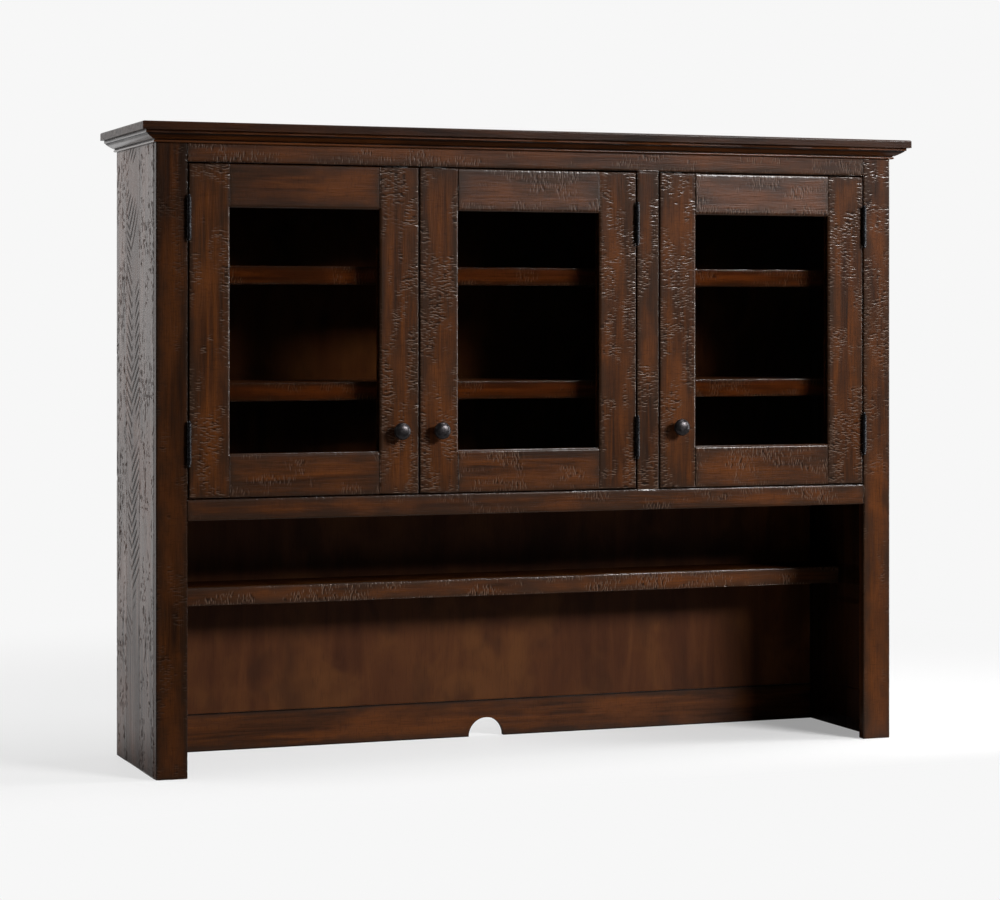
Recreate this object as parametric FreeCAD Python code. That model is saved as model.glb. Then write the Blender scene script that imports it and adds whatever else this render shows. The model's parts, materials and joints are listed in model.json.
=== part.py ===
import FreeCAD, Part
import os

# A glazed hutch that stands on a dresser: a cabinet with three glass doors over an open bay.
# Millimetres. +X runs to the right, +Y to the back, +Z up.
# The origin is the middle of the overall box, on the surface the hutch stands on.

Vec = FreeCAD.Vector

# ---- driving dimensions -------------------------------------------------------------------

# carcass
case_width = 1524.0            # over the two side panels
case_depth = 330.0             # front of the face frame to the back edges of the sides
case_height = 1198.5           # up to the underside of the top board
side_thickness = 22.0
ceiling_thickness = 22.0
floor_thickness = 22.0
partition_thickness = 22.0
housing_depth = 7.0            # how far a panel enters the groove in its neighbour
plank_widths = (112.0, 110.0)  # first two planks of each side, counted from the face frame
plank_groove_width = 1.6
plank_groove_depth = 0.8
corner_round = 3.0             # eased outer corners of the face frame
edge_round = 1.5               # eased edges round the openings

# face frame
frame_thickness = 20.0
face_stile_width = 60.0
mullion_width = 46.0
top_rail_height = 56.5
door_opening_height = 626.0
bottom_rail_height = 39.5
face_tenon_length = 24.0

# tenons of the face frame and of the doors
tenon_thickness = 7.0
tenon_shoulder = 9.0

# top board and the moulding under it
top_thickness = 15.5
top_overhang = 32.0            # at the front and at both ends; flush at the back
top_round = 3.5
bead_height = 5.0
bead_projection = 6.0
bead_round = 2.5
cove_height = 11.0
cove_projection = 24.0
cove_sag = 1.2                 # depth of the hollow, measured from its chord
fillet_height = 6.0
fillet_projection = 24.5

# back
back_recess = 9.0              # between the back panels and the back edges of the sides
back_thickness = 6.0
back_groove_depth = 6.0
back_rail_height = 74.0
back_rail_thickness = 12.0
cable_notch_radius = 38.0

# shelves
shelf_thickness = 19.0
nosing_height = 35.0
nosing_depth = 20.0
nosing_tongue = 6.0
shelf_heights = (214.5, 435.5)  # tops of the two shelves, above the cabinet floor
shelf_setback = 35.0            # from the back of the face frame to the front of a shelf
shelf_end_clearance = 2.0
shelf_back_clearance = 1.0
open_shelf_top = 334.5
open_shelf_depth = 135.0        # from the back panel to the front of the nosing

# cleats under the ends of the cabinet shelves
cleat_width = 15.0
cleat_height = 15.0
cleat_chamfer = 4.0
cleat_nosing_clearance = 1.0

# doors
door_gap = 2.5
door_thickness = 20.0
door_stile_width = 78.0
door_rail_height = 81.0
door_round = 2.0
door_tenon_length = 40.0
window_chamfer = 3.0
glass_thickness = 4.0
glass_setback = 12.0            # front of the door to the front of the glass
glass_rebate = 8.0              # how far the rebate reaches past the window
glass_edge_clearance = 1.0

# butt hinges
hinge_length = 76.0
hinge_from_door_end = 101.0     # end of the door to the middle of the hinge
knuckle_radius = 4.3
knuckle_standoff = 0.3          # between the barrel and the front of the door
knuckle_clearance = 0.4
leaf_thickness = 2.2
leaf_spread = 0.3               # half of the space between two closed leaves
leaf_reach = 16.0               # how far a leaf runs along the edge of the door
hinge_pin_radius = 2.2
hinge_pin_fit = 0.05
hinge_pin_end = 5.6             # how far the pin stands out at each end of the barrel

# knobs
knob_height = 119.5             # above the bottom edge of the door
knob_radius = 16.5
knob_projection = 28.0
knob_rim = 3.0                  # thickness of the head at its edge
knob_crown = 6.0                # how far the face of the head rises in front of its edge
knob_neck_radius = 6.5

# magnetic catches behind the top rail
catch_width = 46.0
catch_depth = 15.0
catch_height = 44.0
catch_drop = 18.0               # part of the catch that hangs behind the door
catch_end_inset = 14.0          # from the free edge of the door to the catch
catch_air = 0.3                 # between the strike plate and the catch
strike_thickness = 1.2
strike_width = 30.0
strike_height = 12.0

# ---- levels and faces worked out from them ------------------------------------------------

overall_depth = case_depth + top_overhang
front = top_overhang - overall_depth / 2
back = overall_depth / 2
right = case_width / 2
left = -right
inner_left = left + side_thickness
inner_right = right - side_thickness
frame_back = front + frame_thickness
back_panel_back = back - back_recess
back_panel_front = back_panel_back - back_thickness
back_rail_front = back_panel_back - back_rail_thickness

ceiling_underside = case_height - ceiling_thickness
opening_top = case_height - top_rail_height
opening_bottom = opening_top - door_opening_height
bay_top = opening_bottom - bottom_rail_height
floor_underside = opening_bottom - floor_thickness
cornice_bottom = case_height - bead_height - cove_height - fillet_height

door_width = (case_width - 2 * face_stile_width - mullion_width - 5 * door_gap) / 3
door_bottom = opening_bottom + door_gap
door_top = opening_top - door_gap
left_opening = (left + face_stile_width, left + face_stile_width + 2 * door_width + 3 * door_gap)
mullion = (left_opening[1], left_opening[1] + mullion_width)
right_opening = (mullion[1], right - face_stile_width)
partition_middle = (mullion[0] + mullion[1]) / 2
partition = (partition_middle - partition_thickness / 2, partition_middle + partition_thickness / 2)
compartments = {"left": (inner_left, partition[0]), "right": (partition[1], inner_right)}

knuckle_reach = knuckle_radius + knuckle_standoff   # front of the door to the hinge axis
doors = (
    ("door_left", left_opening[0] + door_gap, "left"),
    ("door_middle", left_opening[0] + 2 * door_gap + door_width, "right"),
    ("door_right", right_opening[0] + door_gap, "right"),
)
hinge_levels = (door_bottom + hinge_from_door_end, door_top - hinge_from_door_end)
shelf_front = frame_back + shelf_setback
shelf_back = back_panel_front - shelf_back_clearance

parts = {}
near = 0.001   # how close two numbers are to count as the same place


# ---- small helpers ------------------------------------------------------------------------

def block(x, y, z):
    """A box from three (low, high) pairs."""
    return Part.makeBox(x[1] - x[0], y[1] - y[0], z[1] - z[0], Vec(x[0], y[0], z[0]))


def span(a, b):
    """Two numbers in rising order."""
    return (min(a, b), max(a, b))


def grown(pair, amount):
    """A (low, high) pair made wider by amount at both ends."""
    return (pair[0] - amount, pair[1] + amount)


def prism(points, direction):
    """A straight solid on a closed outline of points."""
    return Part.Face(Part.makePolygon(points + points[:1])).extrude(direction)


def joined(solids):
    """Solids that touch or overlap, as one solid."""
    whole = solids[0]
    for solid in solids[1:]:
        whole = whole.fuse(solid)
    return whole.removeSplitter()


def without(solid, tools):
    """A solid with each of the tools cut away."""
    for tool in tools:
        solid = solid.cut(tool)
    return solid


def rim_edges(solid, level_y):
    """The edges of a solid that lie in the plane y = level_y."""
    return [e for e in solid.Edges if all(abs(v.Point.y - level_y) < near for v in e.Vertexes)]


def middle_of(edge):
    return edge.CenterOfMass


def level(edge):
    """Whether an edge runs along X."""
    return abs(edge.Vertexes[0].Point.x - edge.Vertexes[-1].Point.x) > edge.Length / 2


def rail_tenons(x, y_front, z, length):
    """The two tenons of a horizontal rail that spans x, with its front at y_front."""
    y_middle = y_front + frame_thickness / 2
    y = (y_middle - tenon_thickness / 2, y_middle + tenon_thickness / 2)
    inner_z = (z[0] + tenon_shoulder, z[1] - tenon_shoulder)
    return [block((x[0] - length, x[0]), y, inner_z), block((x[1], x[1] + length), y, inner_z)]


# ---- carcass ------------------------------------------------------------------------------

open_shelf_y = (back_panel_front - open_shelf_depth, back_panel_front)
open_shelf_board_y = (open_shelf_y[0] + nosing_depth, open_shelf_y[1])
open_shelf_board_z = (open_shelf_top - shelf_thickness, open_shelf_top)


def side_panel(outer, inward):
    """A side glued up from three planks; inward is +1 on the left side and -1 on the right."""
    inner = outer + inward * side_thickness
    housed = inner - inward * housing_depth
    grooved = inner - inward * back_groove_depth
    whole_y = (frame_back, back)
    housed_y = (frame_back, back_panel_front)

    panel = block(span(outer, inner), whole_y, (0, case_height))
    back_corner = [e for e in panel.Edges
                   if abs(middle_of(e).x - outer) < near and abs(middle_of(e).y - back) < near]
    panel = panel.makeFillet(edge_round, back_corner)
    tools = [
        block(span(housed, inner), housed_y, (ceiling_underside, case_height)),
        block(span(housed, inner), housed_y, (floor_underside, opening_bottom)),
        block(span(housed, inner), open_shelf_board_y, open_shelf_board_z),
        block(span(grooved, inner), (back_panel_front, back_panel_back), (0, case_height)),
    ]
    joint_y = frame_back
    for width in plank_widths:
        joint_y += width
        groove = prism([
            Vec(outer, joint_y - plank_groove_width / 2, 0),
            Vec(outer + inward * plank_groove_depth, joint_y, 0),
            Vec(outer, joint_y + plank_groove_width / 2, 0),
        ], Vec(0, 0, case_height))
        tools.append(groove)
    return without(panel, tools)


def make_carcass():
    parts["left_side_panel"] = side_panel(left, 1)
    parts["right_side_panel"] = side_panel(right, -1)

    housed_x = (inner_left - housing_depth, inner_right + housing_depth)
    inner_y = (frame_back, back_panel_front)
    divider_z = (opening_bottom - housing_depth, ceiling_underside + housing_depth)
    divider = block(partition, inner_y, divider_z)
    parts["ceiling_panel"] = block(housed_x, inner_y, (ceiling_underside, case_height)).cut(divider)
    parts["cabinet_floor"] = block(housed_x, inner_y, (floor_underside, opening_bottom)).cut(divider)
    parts["partition"] = divider


def make_back():
    grooved_x = (inner_left - back_groove_depth, inner_right + back_groove_depth)
    panel_y = (back_panel_front, back_panel_back)
    panel_joint = (floor_underside + opening_bottom) / 2
    parts["upper_back_panel"] = block(grooved_x, panel_y, (panel_joint, case_height))
    parts["lower_back_panel"] = block(grooved_x, panel_y, (back_rail_height, panel_joint))

    rail = joined([
        block((inner_left, inner_right), (back_rail_front, back_panel_back), (0, back_rail_height)),
        block(grooved_x, panel_y, (0, back_rail_height)),
    ])
    top_edge = [e for e in rim_edges(rail, back_rail_front)
                if middle_of(e).z > back_rail_height - near]
    rail = rail.makeFillet(edge_round, top_edge)
    notch = Part.makeCylinder(cable_notch_radius, back_rail_thickness,
                              Vec(0, back_rail_front, 0), Vec(0, 1, 0))
    parts["back_rail"] = rail.cut(notch)


def make_top():
    outer_x = (left - top_overhang, right + top_overhang)
    board = block(outer_x, (front - top_overhang, back), (case_height, case_height + top_thickness))
    upper = case_height + top_thickness

    def shown(edge):
        at = middle_of(edge)
        return at.z > upper - near and at.y < back - near

    parts["top_board"] = board.makeFillet(top_round, [e for e in board.Edges if shown(e)])


def moulding_face(place):
    """Section of the moulding; place turns (projection, level) into a point."""
    bead_top = cornice_bottom + bead_height
    cove_top = bead_top + cove_height
    chord = Vec(cove_projection - bead_projection, cove_height, 0)
    hollow = Vec(-chord.y, chord.x, 0).normalize() * cove_sag
    cove_middle = (bead_projection + chord.x / 2 + hollow.x, bead_top + chord.y / 2 + hollow.y)
    nose = bead_round * (1 - 0.5 ** 0.5)
    outline = [
        Part.makeLine(place(0, cornice_bottom), place(bead_projection - bead_round, cornice_bottom)),
        Part.Arc(place(bead_projection - bead_round, cornice_bottom),
                 place(bead_projection - nose, cornice_bottom + nose),
                 place(bead_projection, cornice_bottom + bead_round)).toShape(),
        Part.makeLine(place(bead_projection, cornice_bottom + bead_round),
                      place(bead_projection, bead_top)),
        Part.Arc(place(bead_projection, bead_top), place(*cove_middle),
                 place(cove_projection, cove_top)).toShape(),
        Part.makeLine(place(cove_projection, cove_top), place(fillet_projection, cove_top)),
        Part.makeLine(place(fillet_projection, cove_top), place(fillet_projection, case_height)),
        Part.makeLine(place(fillet_projection, case_height), place(0, case_height)),
        Part.makeLine(place(0, case_height), place(0, cornice_bottom)),
    ]
    return Part.Face(Part.Wire(outline))


def make_cornice():
    """Three lengths of one moulding, mitred at the two front corners."""
    reach = fillet_projection
    rise = Vec(0, 0, case_height - cornice_bottom)

    def corner(x, y):
        return Vec(x, y, cornice_bottom)

    front_run = moulding_face(lambda o, z: Vec(left - reach, front - o, z))
    front_run = front_run.extrude(Vec(case_width + 2 * reach, 0, 0))
    front_room = prism([corner(left, front), corner(right, front),
                        corner(right + reach, front - reach),
                        corner(left - reach, front - reach)], rise)
    parts["cornice_front"] = front_run.common(front_room)

    for name, side, outward in (("cornice_left", left, -1), ("cornice_right", right, 1)):
        run = moulding_face(lambda o, z: Vec(side + outward * o, front - reach, z))
        run = run.extrude(Vec(0, case_depth + reach, 0))
        room = prism([corner(side, front), corner(side, back),
                      corner(side + outward * reach, back),
                      corner(side + outward * reach, front - reach)], rise)
        parts[name] = run.common(room)


# ---- hinges -------------------------------------------------------------------------------

middle_knuckle = (-hinge_length / 4 + knuckle_clearance / 2, hinge_length / 4 - knuckle_clearance / 2)
outer_knuckles = (
    (-hinge_length / 2, -hinge_length / 4 - knuckle_clearance / 2),
    (hinge_length / 4 + knuckle_clearance / 2, hinge_length / 2),
)


def barrel(radius, z):
    return Part.makeCylinder(radius, z[1] - z[0], Vec(0, 0, z[0]), Vec(0, 0, 1))


def hinge_leaf(toward, own, other):
    """A leaf about a vertical axis through the origin; toward is +1 or -1 along X."""
    plate_x = (leaf_spread, leaf_spread + leaf_thickness)
    if toward < 0:
        plate_x = (-plate_x[1], -plate_x[0])
    plate = block(plate_x, (0, knuckle_reach + leaf_reach), (-hinge_length / 2, hinge_length / 2))
    for z in other:
        room = (z[0] - knuckle_clearance, z[1] + knuckle_clearance)
        plate = plate.cut(barrel(knuckle_radius + knuckle_clearance, room))
    leaf = joined([plate] + [barrel(knuckle_radius, z) for z in own])
    bore = barrel(hinge_pin_radius + hinge_pin_fit, (-hinge_length, hinge_length))
    return leaf.cut(bore)


def hinge_pin():
    """A pin about the vertical axis through the origin, with both ends proud of the barrel."""
    return barrel(hinge_pin_radius, grown((-hinge_length / 2, hinge_length / 2), hinge_pin_end))


def leaf_room(toward):
    """The mortise for a leaf."""
    x = (0, leaf_spread + leaf_thickness)
    if toward < 0:
        x = (-x[1], 0)
    return block(x, (0, knuckle_reach + leaf_reach), (-hinge_length / 2, hinge_length / 2))


def hinge_axis(door_x, hinge_side):
    """X of a door's hinge axis, in the middle of the gap at its hinged edge."""
    if hinge_side == "left":
        return door_x - door_gap / 2
    return door_x + door_width + door_gap / 2


def at_hinges(shape, door_x, hinge_side):
    """Copies of a shape at both hinges of a door."""
    copies = []
    for level in hinge_levels:
        copy = shape.copy()
        copy.translate(Vec(hinge_axis(door_x, hinge_side), front - knuckle_reach, level))
        copies.append(copy)
    return copies


def to_door(hinge_side):
    """Direction along X from the hinge axis to its door."""
    return 1 if hinge_side == "left" else -1


def make_fixed_hinge_parts():
    leaves = []
    pins = []
    for name, door_x, hinge_side in doors:
        leaf = hinge_leaf(-to_door(hinge_side), outer_knuckles, (middle_knuckle,))
        leaves += at_hinges(leaf, door_x, hinge_side)
        pins += at_hinges(hinge_pin(), door_x, hinge_side)
    parts["frame_hinge_leaves"] = Part.makeCompound(leaves)
    parts["hinge_pins"] = Part.makeCompound(pins)


# ---- face frame ---------------------------------------------------------------------------

def make_face_frame():
    frame_y = (front, frame_back)
    rail_x = (left + face_stile_width, right - face_stile_width)
    door_z = (opening_bottom, opening_top)
    frame = without(block((left, right), frame_y, (0, case_height)), [
        block(left_opening, frame_y, door_z),
        block(right_opening, frame_y, door_z),
        block(rail_x, frame_y, (0, bay_top)),
    ])

    def at_end(edge):
        return middle_of(edge).z < near or middle_of(edge).z > case_height - near

    def at_corner(edge):
        return abs(middle_of(edge).x) > right - near

    rims = [e for e in rim_edges(frame, front) if not at_end(e)]
    frame = frame.makeFillet(corner_round, [e for e in rims if at_corner(e)])
    rims = [e for e in rim_edges(frame, front) if not at_end(e) and abs(middle_of(e).x) < rail_x[1] + 1]
    frame = frame.makeFillet(edge_round, rims)

    top_z = (opening_top, case_height)
    bottom_z = (bay_top, opening_bottom)
    rail_mortises = rail_tenons(rail_x, front, top_z, face_tenon_length)
    rail_mortises += rail_tenons(rail_x, front, bottom_z, face_tenon_length)
    middle_y = (front + frame_back) / 2
    post_y = (middle_y - tenon_thickness / 2, middle_y + tenon_thickness / 2)
    post_x = (mullion[0] + tenon_shoulder, mullion[1] - tenon_shoulder)
    post_tenon = block(post_x, post_y, grown(door_z, face_tenon_length))

    mortises = []
    for name, door_x, hinge_side in doors:
        mortises += at_hinges(leaf_room(-to_door(hinge_side)), door_x, hinge_side)

    full_z = (0, case_height)
    left_stile = frame.common(block((left, rail_x[0]), frame_y, full_z))
    parts["left_face_stile"] = without(left_stile, rail_mortises + mortises)
    right_stile = frame.common(block((rail_x[1], right), frame_y, full_z))
    parts["right_face_stile"] = without(right_stile, rail_mortises + mortises)
    post = joined([frame.common(block(mullion, frame_y, door_z)), post_tenon])
    parts["mullion"] = without(post, mortises)
    for name, z in (("top_face_rail", top_z), ("bottom_face_rail", bottom_z)):
        tenons = rail_tenons(rail_x, front, z, face_tenon_length)
        rail = joined([frame.common(block(rail_x, frame_y, z))] + tenons)
        parts[name] = rail.cut(post_tenon)


# ---- shelves ------------------------------------------------------------------------------

def tongued_nosing(x, y, top):
    """A nosing, and the tongue of the shelf board that it takes."""
    middle = top - shelf_thickness / 2
    tongue_z = (middle - nosing_tongue / 2, middle + nosing_tongue / 2)
    tongue = block(x, (y[1] - nosing_tongue, y[1]), tongue_z)
    nosing = block(x, y, (top - nosing_height, top))
    nosing = nosing.makeFillet(edge_round, [e for e in rim_edges(nosing, y[0]) if level(e)])
    return nosing.cut(tongue), tongue


def make_shelves():
    for place, walls in compartments.items():
        x = grown(walls, -shelf_end_clearance)
        for tier, height in zip(("lower", "upper"), shelf_heights):
            top = opening_bottom + height
            nosing_y = (shelf_front, shelf_front + nosing_depth)
            nosing, tongue = tongued_nosing(x, nosing_y, top)
            board = block(x, (nosing_y[1], shelf_back), (top - shelf_thickness, top))
            parts[f"{place}_{tier}_shelf"] = joined([board, tongue])
            parts[f"{place}_{tier}_shelf_nosing"] = nosing

    nosing_y = (open_shelf_y[0], open_shelf_board_y[0])
    nosing, tongue = tongued_nosing((inner_left, inner_right), nosing_y, open_shelf_top)
    housed_x = (inner_left - housing_depth, inner_right + housing_depth)
    board = block(housed_x, open_shelf_board_y, open_shelf_board_z)
    parts["open_shelf"] = joined([board, tongue])
    parts["open_shelf_nosing"] = nosing


def shelf_cleat(wall_x, into_room, height):
    """A strip on a wall, under the end of a shelf and behind its nosing."""
    top = opening_bottom + height - shelf_thickness
    bottom = top - cleat_height
    room_x = wall_x + into_room * cleat_width
    y = shelf_front + nosing_depth + cleat_nosing_clearance
    outline = [Vec(wall_x, y, top), Vec(room_x, y, top), Vec(room_x, y, bottom + cleat_chamfer),
               Vec(room_x - into_room * cleat_chamfer, y, bottom), Vec(wall_x, y, bottom)]
    return prism(outline, Vec(0, back_panel_front - y, 0))


def make_cleats():
    cleats = []
    for walls in compartments.values():
        for wall_x, into_room in zip(walls, (1, -1)):
            cleats += [shelf_cleat(wall_x, into_room, height) for height in shelf_heights]
    parts["shelf_cleats"] = Part.makeCompound(cleats)


# ---- doors --------------------------------------------------------------------------------

def rectangle(x, z, y):
    return Part.makePolygon([Vec(x[0], y, z[0]), Vec(x[1], y, z[0]), Vec(x[1], y, z[1]),
                             Vec(x[0], y, z[1]), Vec(x[0], y, z[0])])


def door_knob(at):
    """A turned mushroom knob that stands out along -Y from at."""
    rim_front = knob_projection - knob_crown
    rim_back = rim_front - knob_rim
    outline = [(0, 0), (knob_neck_radius, 0), (knob_neck_radius, rim_back), (knob_radius, rim_back),
               (knob_radius, rim_front), (0, knob_projection)]
    points = [Vec(at.x + radius, at.y - out, at.z) for radius, out in outline]
    return Part.Face(Part.makePolygon(points + points[:1])).revolve(at, Vec(0, 1, 0), 360)


def glass_stops(window_x, window_z, y):
    """Four mitred strips that hold the pane in its rebate."""
    outer_x = grown(window_x, glass_rebate)
    outer_z = grown(window_z, glass_rebate)
    thick = Vec(0, y[1] - y[0], 0)
    strips = []
    for i, j in ((0, 0), (0, 1), (1, 0), (1, 1)):
        if i == 0:
            z_in, z_out = window_z[j], outer_z[j]
            corners = [Vec(outer_x[0], y[0], z_out), Vec(outer_x[1], y[0], z_out),
                       Vec(window_x[1], y[0], z_in), Vec(window_x[0], y[0], z_in)]
        else:
            x_in, x_out = window_x[j], outer_x[j]
            corners = [Vec(x_out, y[0], outer_z[0]), Vec(x_out, y[0], outer_z[1]),
                       Vec(x_in, y[0], window_z[1]), Vec(x_in, y[0], window_z[0])]
        strips.append(prism(corners, thick))
    return Part.makeCompound(strips)


def make_door(name, door_x, hinge_side):
    x = (door_x, door_x + door_width)
    y = (front, front + door_thickness)
    z = (door_bottom, door_top)
    window_x = grown(x, -door_stile_width)
    window_z = grown(z, -door_rail_height)
    glass_y = (front + glass_setback, front + glass_setback + glass_thickness)

    blank = block(x, y, z)
    blank = blank.makeFillet(door_round, rim_edges(blank, front))
    chamfer = Part.makeLoft([
        rectangle(grown(window_x, window_chamfer), grown(window_z, window_chamfer), front),
        rectangle(window_x, window_z, front + window_chamfer),
    ], True, True)
    rebate_y = (glass_y[0], y[1])
    rebate = block(grown(window_x, glass_rebate), rebate_y, grown(window_z, glass_rebate))
    blank = without(blank, [block(window_x, y, window_z), chamfer, rebate])

    rail_levels = {"bottom_rail": (z[0], window_z[0]), "top_rail": (window_z[1], z[1])}
    solid_levels = {"bottom_rail": (z[0], window_z[0] - glass_rebate),
                    "top_rail": (window_z[1] + glass_rebate, z[1])}
    tenons = []
    for rail, rail_z in rail_levels.items():
        ends = rail_tenons(window_x, front, solid_levels[rail], door_tenon_length)
        body = blank.common(block(window_x, y, rail_z))
        parts[f"{name}_{rail}"] = joined([body] + ends)
        tenons += ends

    knob_side = "right" if hinge_side == "left" else "left"
    middle_x = {"left": x[0] + door_stile_width / 2, "right": x[1] - door_stile_width / 2}
    knob_at = Vec(middle_x[knob_side], front, door_bottom + knob_height)
    cuts = tenons + at_hinges(leaf_room(to_door(hinge_side)), door_x, hinge_side)
    for side, stile_x in (("left", (x[0], window_x[0])), ("right", (window_x[1], x[1]))):
        parts[f"{name}_{side}_stile"] = without(blank.common(block(stile_x, y, z)), cuts)

    pane = glass_rebate - glass_edge_clearance
    parts[f"{name}_glass"] = block(grown(window_x, pane), glass_y, grown(window_z, pane))
    parts[f"{name}_glass_stops"] = glass_stops(window_x, window_z, (glass_y[1], y[1]))
    parts[f"{name}_knob"] = door_knob(knob_at)

    leaf = hinge_leaf(to_door(hinge_side), (middle_knuckle,), outer_knuckles)
    parts[f"{name}_hinge_leaves"] = Part.makeCompound(at_hinges(leaf, door_x, hinge_side))

    plate_middle = catch_middle(x, knob_side)
    plate_level = door_top - catch_drop / 2
    plate_x = (plate_middle - strike_width / 2, plate_middle + strike_width / 2)
    plate_z = (plate_level - strike_height / 2, plate_level + strike_height / 2)
    parts[f"{name}_strike_plate"] = block(plate_x, (y[1], y[1] + strike_thickness), plate_z)


def catch_middle(x, free_side):
    """Middle of the catch of a door that spans x."""
    inset = catch_end_inset + catch_width / 2
    return x[0] + inset if free_side == "left" else x[1] - inset


def make_catches():
    """Catches screwed to the back of the top rail, each with a lip that hangs behind its door."""
    magnet_face = front + door_thickness + strike_thickness + catch_air
    lip_bottom = door_top - catch_drop
    catches = []
    for name, door_x, hinge_side in doors:
        free_side = "right" if hinge_side == "left" else "left"
        middle = catch_middle((door_x, door_x + door_width), free_side)
        outline = [
            (frame_back, opening_top), (frame_back, lip_bottom + catch_height),
            (frame_back + catch_depth, lip_bottom + catch_height),
            (frame_back + catch_depth, lip_bottom), (magnet_face, lip_bottom), (magnet_face, opening_top),
        ]
        points = [Vec(middle - catch_width / 2, y, z) for y, z in outline]
        catches.append(prism(points, Vec(catch_width, 0, 0)))
    parts["magnetic_catches"] = Part.makeCompound(catches)


# ---- the whole hutch ----------------------------------------------------------------------

make_carcass()
make_back()
make_top()
make_cornice()
make_face_frame()
make_fixed_hinge_parts()
make_shelves()
make_cleats()
for door in doors:
    make_door(*door)
make_catches()

os.makedirs("parts", exist_ok=True)
for name, shape in parts.items():
    if not shape.isValid():
        raise ValueError(f"{name} is not a valid shape")
    shape.exportStep(f"parts/{name}.step")
print(len(parts), "nodes")
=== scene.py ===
import json
import math

import bmesh
import bpy
import numpy as np
from mathutils import Matrix, Vector


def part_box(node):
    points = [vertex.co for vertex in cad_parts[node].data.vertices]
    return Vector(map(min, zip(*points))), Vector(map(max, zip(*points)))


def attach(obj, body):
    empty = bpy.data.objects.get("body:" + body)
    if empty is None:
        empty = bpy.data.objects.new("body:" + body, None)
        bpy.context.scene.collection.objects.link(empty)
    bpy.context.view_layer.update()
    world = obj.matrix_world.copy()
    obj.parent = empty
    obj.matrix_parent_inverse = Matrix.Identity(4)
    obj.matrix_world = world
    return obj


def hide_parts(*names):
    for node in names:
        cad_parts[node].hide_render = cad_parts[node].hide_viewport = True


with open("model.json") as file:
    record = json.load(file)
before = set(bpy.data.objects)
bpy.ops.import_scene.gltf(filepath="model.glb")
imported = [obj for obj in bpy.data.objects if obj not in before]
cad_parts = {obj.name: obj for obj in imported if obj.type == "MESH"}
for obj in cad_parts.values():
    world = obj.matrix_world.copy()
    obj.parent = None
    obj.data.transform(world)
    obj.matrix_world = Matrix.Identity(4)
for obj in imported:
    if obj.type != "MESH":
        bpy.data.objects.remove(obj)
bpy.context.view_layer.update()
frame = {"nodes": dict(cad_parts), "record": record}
scene = bpy.context.scene
scene.view_settings.view_transform = "Standard"
nodes = frame["nodes"]
bodyOf = {name: body for body, names in frame["record"]["behaviour"]["bodies"].items()
          for name in names}
print("frame loaded:", len(nodes), "nodes")

millimetre = 0.001
axisNumber = {"x": 0, "y": 1, "z": 2}


cameraLook = {
    "place": (-1.9504, -5.1330, 0.8415),
    "turn": -20.515,        # degrees about Z, from looking straight at the front
    "upright": 90,          # level, so that uprights stay parallel
    "focalPixels": 2760.46,
    "horizonRow": 324,      # rows down from the top of the picture
    "pictureWidth": 1000,
    "pictureHeight": 900,
    "sensor": 36,
    "farthest": 60,
}


def makeCamera():
    look = cameraLook
    data = bpy.data.cameras.new("studioCamera")
    data.sensor_width = look["sensor"]
    data.lens = look["focalPixels"] * look["sensor"] / look["pictureWidth"]
    data.shift_y = (look["horizonRow"] - look["pictureHeight"] / 2) / look["pictureWidth"]
    data.clip_end = look["farthest"]
    camera = bpy.data.objects.new("studioCamera", data)
    camera.location = look["place"]
    camera.rotation_euler = (math.radians(look["upright"]), 0, math.radians(look["turn"]))
    scene.collection.objects.link(camera)
    scene.camera = camera


def setInputs(tree, made, inputs):
    for key, value in inputs.items():
        if isinstance(value, bpy.types.NodeSocket):
            tree.links.new(value, made.inputs[key])
        else:
            made.inputs[key].default_value = value


def addNode(tree, kind, inputs=None, **settings):
    made = tree.nodes.new(kind)
    for key, value in settings.items():
        setattr(made, key, value)
    setInputs(tree, made, inputs or {})
    return made


def newMaterial(name):
    material = bpy.data.materials.new(name)
    material.use_nodes = True
    tree = material.node_tree
    tree.nodes.clear()
    output = tree.nodes.new("ShaderNodeOutputMaterial")
    shader = tree.nodes.new("ShaderNodeBsdfPrincipled")
    tree.links.new(shader.outputs[0], output.inputs[0])
    return material, tree, shader


def calculate(tree, operation, a, b=0.0, c=0.0, clamp=False):
    return addNode(tree, "ShaderNodeMath", {0: a, 1: b, 2: c}, operation=operation,
                   use_clamp=clamp).outputs[0]


def choose(tree, factor, low, high):
    return addNode(tree, "ShaderNodeMix", {0: factor, 2: low, 3: high}).outputs[0]


def ramp(tree, factor, stops):
    made = addNode(tree, "ShaderNodeValToRGB", {0: factor})
    elements = made.color_ramp.elements
    while len(elements) > 1:
        elements.remove(elements[-1])
    for i, (place, colour) in enumerate(stops):
        element = elements[0] if i == 0 else elements.new(place)
        element.position = place
        element.color = (*colour, 1)
    return made.outputs[0]


def fade(tree, value, low, high, toLow=0.0, toHigh=1.0):
    made = addNode(tree, "ShaderNodeMapRange", {0: value, 1: low, 2: high, 3: toLow, 4: toHigh},
                   interpolation_type="SMOOTHSTEP")
    return made.outputs[0]


def blend(tree, factor, a, b, kind="MIX"):
    made = addNode(tree, "ShaderNodeMix", {"Factor": factor}, data_type="RGBA", blend_type=kind)
    for name, value in (("A", a), ("B", b)):
        socket = [s for s in made.inputs if s.name == name and s.type == "RGBA"][0]
        if isinstance(value, bpy.types.NodeSocket):
            tree.links.new(value, socket)
        else:
            socket.default_value = (*value, 1)
    return [s for s in made.outputs if s.type == "RGBA"][0]


def objectPlace(tree, shift):
    place = addNode(tree, "ShaderNodeTexCoord").outputs["Object"]
    return addNode(tree, "ShaderNodeMapping", {"Vector": place, "Location": shift}).outputs[0]


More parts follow.
